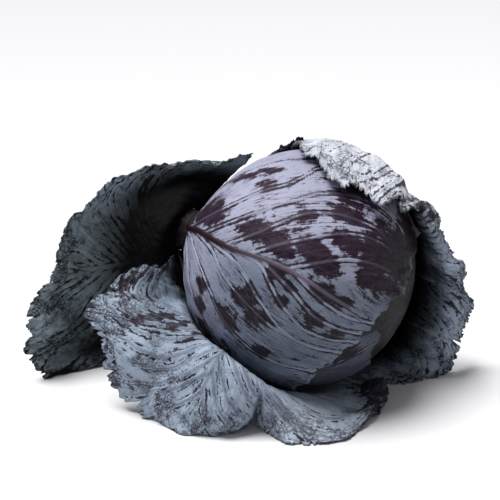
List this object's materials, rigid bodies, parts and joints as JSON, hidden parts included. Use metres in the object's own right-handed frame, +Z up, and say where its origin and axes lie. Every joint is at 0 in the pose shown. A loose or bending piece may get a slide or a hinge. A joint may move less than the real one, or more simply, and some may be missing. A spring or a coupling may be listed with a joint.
{
  "type": "red cabbage head",
  "caption": "Round cabbage head lying on its side in open, crinkle-edged wrapper leaves, with a cut stalk at the back.",
  "frame": {"origin": "middle of the whole outline seen from above, on the surface it lies on", "axes": "+X to the right seen from the open side, -Y toward the viewer, +Z up; the cut stalk points to -X, +Y and slightly up"},
  "size_m": [0.3436, 0.211, 0.192],
  "materials": {
    "stalk": "pale cut vegetable stalk, dull",
    "head": "smooth dark purple leaf, faint waxy sheen",
    "head_leaf": "dark purple leaf under a pale blue-grey waxy bloom",
    "wrapper": "dark leathery leaf with thin blue-grey bloom and crinkled margin",
    "wrapper_pale": "leathery leaf under a heavy pale blue bloom, frayed dark margin"
  },
  "bodies": {
    "root": {"cut_stalk": "stalk", "head_body": "head", "head_leaf_second": "head_leaf", "head_leaf_outer": "head_leaf", "wrapper_leaf_back": "wrapper", "wrapper_leaf_front": "wrapper_pale", "wrapper_leaf_right": "wrapper", "wrapper_leaf_left": "wrapper"}
  },
  "joints": []
}
